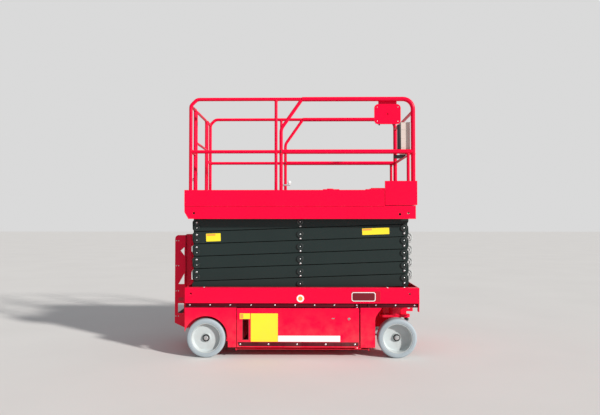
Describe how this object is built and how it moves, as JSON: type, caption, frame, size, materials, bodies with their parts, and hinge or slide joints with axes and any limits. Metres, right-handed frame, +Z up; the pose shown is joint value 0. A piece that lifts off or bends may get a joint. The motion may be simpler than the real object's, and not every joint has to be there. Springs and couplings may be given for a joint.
{
  "type": "electric slab scissor lift",
  "caption": "Stowed electric scissor lift with swing-out trays, steered front wheels, rear ladder, roll-out deck and telescoping guardrails.",
  "frame": {"origin": "on the ground, under the middle of the machine's bounding box", "axes": "+X forwards to the steered wheels, +Y to the machine's left, +Z up"},
  "size_m": [2.475, 1.17, 2.5629],
  "materials": {
    "red_paint": "glossy red powder coat",
    "arm_paint": "dark green-grey satin paint",
    "black_paint": "black satin paint",
    "tyre_rubber": "light grey non-marking rubber",
    "wheel_paint": "pale grey paint",
    "bright_steel": "bright plated steel",
    "chromed_rod": "hard chrome",
    "battery_plastic": "black moulded plastic",
    "pale_plastic": "pale moulded plastic",
    "pad_plastic": "wear-resistant plastic"
  },
  "bodies": {
    "chassis": {"base_frame": "red_paint", "side_beams": "red_paint", "rear_hull": "red_paint", "spine": "red_paint", "side_skirts": "red_paint", "ladder": "red_paint", "front_axle": "red_paint"},
    "steering_link": {"steering_link": "black_paint"},
    "tray_right": {"tray_right": "red_paint", "batteries": "battery_plastic"},
    "tray_left": {"tray_left": "red_paint", "hydraulic_unit": "black_paint"},
    "guard_right": {"pothole_guard_right": "red_paint"},
    "guard_left": {"pothole_guard_left": "red_paint"},
    "platform": {"platform_deck": "red_paint", "main_rails": "red_paint"},
    "gate": {"gate": "red_paint"},
    "extension": {"extension_deck": "red_paint", "extension_rails": "red_paint", "control_box": "red_paint", "document_box": "pale_plastic", "lock_handle": "bright_steel"},
    "blocks_lower": {"slide_blocks_lower": "pad_plastic"},
    "blocks_upper": {"slide_blocks_upper": "pad_plastic"},
    "lower_barrel": {"lower_cylinder_barrel": "black_paint"},
    "lower_rod": {"lower_cylinder_rod": "chromed_rod"},
    "upper_barrel": {"upper_cylinder_barrel": "black_paint"},
    "upper_rod": {"upper_cylinder_rod": "chromed_rod"},
    "arm_1_outer": {"arm_1_outer": "arm_paint"},
    "arm_1_inner": {"arm_1_inner": "arm_paint"},
    "arm_2_outer": {"arm_2_outer": "arm_paint"},
    "arm_2_inner": {"arm_2_inner": "arm_paint"},
    "arm_3_outer": {"arm_3_outer": "arm_paint"},
    "arm_3_inner": {"arm_3_inner": "arm_paint"},
    "arm_4_outer": {"arm_4_outer": "arm_paint"},
    "arm_4_inner": {"arm_4_inner": "arm_paint"},
    "arm_5_outer": {"arm_5_outer": "arm_paint"},
    "arm_5_inner": {"arm_5_inner": "arm_paint"},
    "arm_6_outer": {"arm_6_outer": "arm_paint"},
    "arm_6_inner": {"arm_6_inner": "arm_paint"},
    "steer_right": {"knuckle_right": "black_paint"},
    "wheel_front_right": {"tyre_front_right": "tyre_rubber", "wheel_front_right": "wheel_paint"},
    "wheel_rear_right": {"tyre_rear_right": "tyre_rubber", "wheel_rear_right": "wheel_paint"},
    "steer_left": {"knuckle_left": "black_paint"},
    "wheel_front_left": {"tyre_front_left": "tyre_rubber", "wheel_front_left": "wheel_paint"},
    "wheel_rear_left": {"tyre_rear_left": "tyre_rubber", "wheel_rear_left": "wheel_paint"}
  },
  "joints": [
    {"name": "lift", "type": "hinge", "parent": "chassis", "child": "arm_1_outer", "pos_m": [-0.958, 0, 0.648], "axis": [0, -1, 0], "range_deg": [0, 61.38]},
    {"name": "arm_1_inner_pivot", "type": "hinge", "parent": "arm_1_outer", "child": "arm_1_inner", "pos_m": [0.076, 0, 0.7098], "axis": [0, -1, 0], "range_deg": [-122.76, 0]},
    {"name": "arm_2_inner_pivot", "type": "hinge", "parent": "arm_1_outer", "child": "arm_2_inner", "pos_m": [1.11, 0, 0.7716], "axis": [0, -1, 0], "range_deg": [-122.76, 0]},
    {"name": "arm_2_outer_pivot", "type": "hinge", "parent": "arm_2_inner", "child": "arm_2_outer", "pos_m": [0.076, 0, 0.8334], "axis": [0, -1, 0], "range_deg": [0, 122.76]},
    {"name": "arm_3_outer_pivot", "type": "hinge", "parent": "arm_2_inner", "child": "arm_3_outer", "pos_m": [-0.958, 0, 0.8952], "axis": [0, -1, 0], "range_deg": [0, 122.76]},
    {"name": "arm_3_inner_pivot", "type": "hinge", "parent": "arm_3_outer", "child": "arm_3_inner", "pos_m": [0.076, 0, 0.957], "axis": [0, -1, 0], "range_deg": [-122.76, 0]},
    {"name": "arm_4_inner_pivot", "type": "hinge", "parent": "arm_3_outer", "child": "arm_4_inner", "pos_m": [1.11, 0, 1.0188], "axis": [0, -1, 0], "range_deg": [-122.76, 0]},
    {"name": "arm_4_outer_pivot", "type": "hinge", "parent": "arm_4_inner", "child": "arm_4_outer", "pos_m": [0.076, 0, 1.0806], "axis": [0, -1, 0], "range_deg": [0, 122.76]},
    {"name": "arm_5_outer_pivot", "type": "hinge", "parent": "arm_4_inner", "child": "arm_5_outer", "pos_m": [-0.958, 0, 1.1424], "axis": [0, -1, 0], "range_deg": [0, 122.76]},
    {"name": "arm_5_inner_pivot", "type": "hinge", "parent": "arm_5_outer", "child": "arm_5_inner", "pos_m": [0.076, 0, 1.2042], "axis": [0, -1, 0], "range_deg": [-122.76, 0]},
    {"name": "arm_6_inner_pivot", "type": "hinge", "parent": "arm_5_outer", "child": "arm_6_inner", "pos_m": [1.11, 0, 1.266], "axis": [0, -1, 0], "range_deg": [-122.76, 0]},
    {"name": "arm_6_outer_pivot", "type": "hinge", "parent": "arm_6_inner", "child": "arm_6_outer", "pos_m": [0.076, 0, 1.3278], "axis": [0, -1, 0], "range_deg": [0, 122.76]},
    {"name": "platform_pivot", "type": "hinge", "parent": "arm_6_inner", "child": "platform", "pos_m": [-0.958, 0, 1.3896], "axis": [0, -1, 0], "range_deg": [0, 61.38]},
    {"name": "blocks_lower_pivot", "type": "hinge", "parent": "arm_1_inner", "child": "blocks_lower", "pos_m": [1.11, 0, 0.648], "axis": [0, -1, 0], "range_deg": [0, 61.38]},
    {"name": "blocks_upper_pivot", "type": "hinge", "parent": "arm_6_outer", "child": "blocks_upper", "pos_m": [1.11, 0, 1.3896], "axis": [0, -1, 0], "range_deg": [-61.38, 0]},
    {"name": "lower_barrel_pivot", "type": "hinge", "parent": "arm_1_inner", "child": "lower_barrel", "pos_m": [-0.68518, 0, 0.8173], "axis": [0, -1, 0], "range_deg": [0, 138.01]},
    {"name": "lower_rod_slide", "type": "slide", "parent": "lower_barrel", "child": "lower_rod", "axis": [0.9997, 0, 0.0243], "range_m": [0, 0.98957]},
    {"name": "upper_barrel_pivot", "type": "hinge", "parent": "arm_4_inner", "child": "upper_barrel", "pos_m": [-0.68518, 0, 1.1881], "axis": [0, -1, 0], "range_deg": [0, 138.01]},
    {"name": "upper_rod_slide", "type": "slide", "parent": "upper_barrel", "child": "upper_rod", "axis": [0.9997, 0, 0.0243], "range_m": [0, 0.98957]},
    {"name": "steer_right", "type": "hinge", "parent": "chassis", "child": "steer_right", "pos_m": [1.025, -0.405, 0.1905], "axis": [0, 0, 1], "range_deg": [-50, 50]},
    {"name": "spin_front_right", "type": "hinge", "parent": "steer_right", "child": "wheel_front_right", "pos_m": [1.025, -0.5215, 0.1905], "axis": [0, 1, 0], "continuous": true},
    {"name": "spin_rear_right", "type": "hinge", "parent": "chassis", "child": "wheel_rear_right", "pos_m": [-0.845, -0.5215, 0.1905], "axis": [0, 1, 0], "continuous": true},
    {"name": "tray_right_swing", "type": "hinge", "parent": "chassis", "child": "tray_right", "pos_m": [0.628, -0.568, 0.297], "axis": [0, 0, 1], "range_deg": [0, 85]},
    {"name": "guard_right_fold", "type": "hinge", "parent": "chassis", "child": "guard_right", "pos_m": [0.097, -0.545, 0.08], "axis": [-1, 0, 0], "range_deg": [0, 90]},
    {"name": "steer_left", "type": "hinge", "parent": "chassis", "child": "steer_left", "pos_m": [1.025, 0.405, 0.1905], "axis": [0, 0, 1], "range_deg": [-50, 50]},
    {"name": "spin_front_left", "type": "hinge", "parent": "steer_left", "child": "wheel_front_left", "pos_m": [1.025, 0.5215, 0.1905], "axis": [0, 1, 0], "continuous": true},
    {"name": "spin_rear_left", "type": "hinge", "parent": "chassis", "child": "wheel_rear_left", "pos_m": [-0.845, 0.5215, 0.1905], "axis": [0, 1, 0], "continuous": true},
    {"name": "tray_left_swing", "type": "hinge", "parent": "chassis", "child": "tray_left", "pos_m": [0.628, 0.568, 0.297], "axis": [0, 0, -1], "range_deg": [0, 85]},
    {"name": "guard_left_fold", "type": "hinge", "parent": "chassis", "child": "guard_left", "pos_m": [0.097, 0.545, 0.08], "axis": [1, 0, 0], "range_deg": [0, 90]},
    {"name": "steering_link_pivot", "type": "hinge", "parent": "steer_right", "child": "steering_link", "pos_m": [1.144, -0.405, 0.35], "axis": [0, 0, 1], "range_deg": [-50, 50]},
    {"name": "extension_slide", "type": "slide", "parent": "platform", "child": "extension", "axis": [1, 0, 0], "range_m": [0, 0.9]},
    {"name": "gate_swing", "type": "hinge", "parent": "platform", "child": "gate", "pos_m": [-1.008, 0.301, 2.018], "axis": [0, 0, 1], "range_deg": [0, 90]}
  ],
  "couplings": [
    {"joint": "arm_1_inner_pivot", "follows": "lift", "ratio": -2},
    {"joint": "arm_2_inner_pivot", "follows": "lift", "ratio": -2},
    {"joint": "arm_2_outer_pivot", "follows": "lift", "ratio": 2},
    {"joint": "arm_3_outer_pivot", "follows": "lift", "ratio": 2},
    {"joint": "arm_3_inner_pivot", "follows": "lift", "ratio": -2},
    {"joint": "arm_4_inner_pivot", "follows": "lift", "ratio": -2},
    {"joint": "arm_4_outer_pivot", "follows": "lift", "ratio": 2},
    {"joint": "arm_5_outer_pivot", "follows": "lift", "ratio": 2},
    {"joint": "arm_5_inner_pivot", "follows": "lift", "ratio": -2},
    {"joint": "arm_6_inner_pivot", "follows": "lift", "ratio": -2},
    {"joint": "arm_6_outer_pivot", "follows": "lift", "ratio": 2},
    {"joint": "platform_pivot", "follows": "lift", "ratio": 1},
    {"joint": "blocks_lower_pivot", "follows": "lift", "ratio": 1},
    {"joint": "blocks_upper_pivot", "follows": "lift", "ratio": -1},
    {"joint": "lower_barrel_pivot", "follows": "lift", "ratio": 2.2484},
    {"joint": "lower_rod_slide", "follows": "lift", "m_per_rad": 0.92373},
    {"joint": "upper_barrel_pivot", "follows": "lift", "ratio": 2.2484},
    {"joint": "upper_rod_slide", "follows": "lift", "m_per_rad": 0.92373},
    {"joint": "steer_left", "follows": "steer_right", "ratio": 1},
    {"joint": "guard_left_fold", "follows": "guard_right_fold", "ratio": 1},
    {"joint": "steering_link_pivot", "follows": "steer_right", "ratio": -1}
  ]
}
